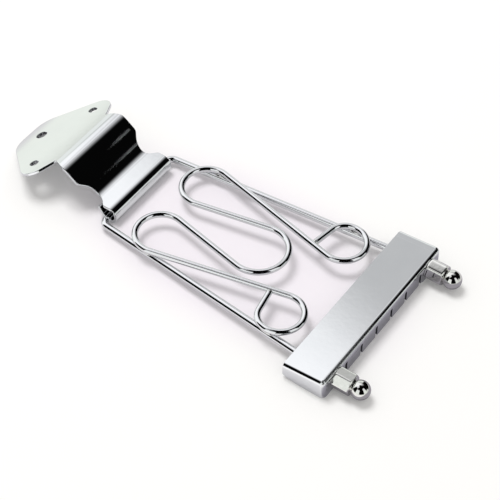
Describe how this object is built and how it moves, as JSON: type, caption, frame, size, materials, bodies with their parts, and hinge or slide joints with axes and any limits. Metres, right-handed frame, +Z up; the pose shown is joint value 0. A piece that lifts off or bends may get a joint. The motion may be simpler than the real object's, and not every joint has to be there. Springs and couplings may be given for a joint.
{
  "type": "guitar tailpiece",
  "caption": "Chrome trapeze tailpiece: stamped hinge plate, bent wire frame with looped inner scroll, and a slotted crossbar held by ball-tipped cap nuts.",
  "frame": {"origin": "on the table under the middle of the part's box, as it lies on the plate's outer edge, the rolled hinge edge and the crossbar's end flanges", "axes": "+X from the mounting plate to the string side, +Y from the near leg to the far leg, +Z up from the table"},
  "size_m": [0.1918, 0.0822, 0.0185],
  "materials": {
    "chrome_sheet": "polished chrome plate on stamped steel",
    "chrome_wire": "polished chrome plate on drawn steel wire",
    "chrome_nut": "polished chrome plate on turned brass",
    "filler_metal": "plated over, slightly dull"
  },
  "bodies": {
    "frame": {"outer_frame": "chrome_wire", "scroll_wire": "chrome_wire", "crossbar_cover": "chrome_sheet", "cap_nut_near": "chrome_nut", "cap_nut_far": "chrome_nut", "back_nut_near": "chrome_nut", "back_nut_far": "chrome_nut", "braze_big_loop_near": "filler_metal", "braze_small_loop_near": "filler_metal", "braze_wire_end_near": "filler_metal", "braze_big_loop_far": "filler_metal", "braze_small_loop_far": "filler_metal", "braze_wire_end_far": "filler_metal"},
    "bracket": {"hinge_bracket": "chrome_sheet"}
  },
  "joints": [
    {"name": "bracket_hinge", "type": "hinge", "parent": "frame", "child": "bracket", "pos_m": [-0.0382, 0, 0.0029], "axis": [0, 1, 0], "range_deg": [-175, 120]}
  ]
}
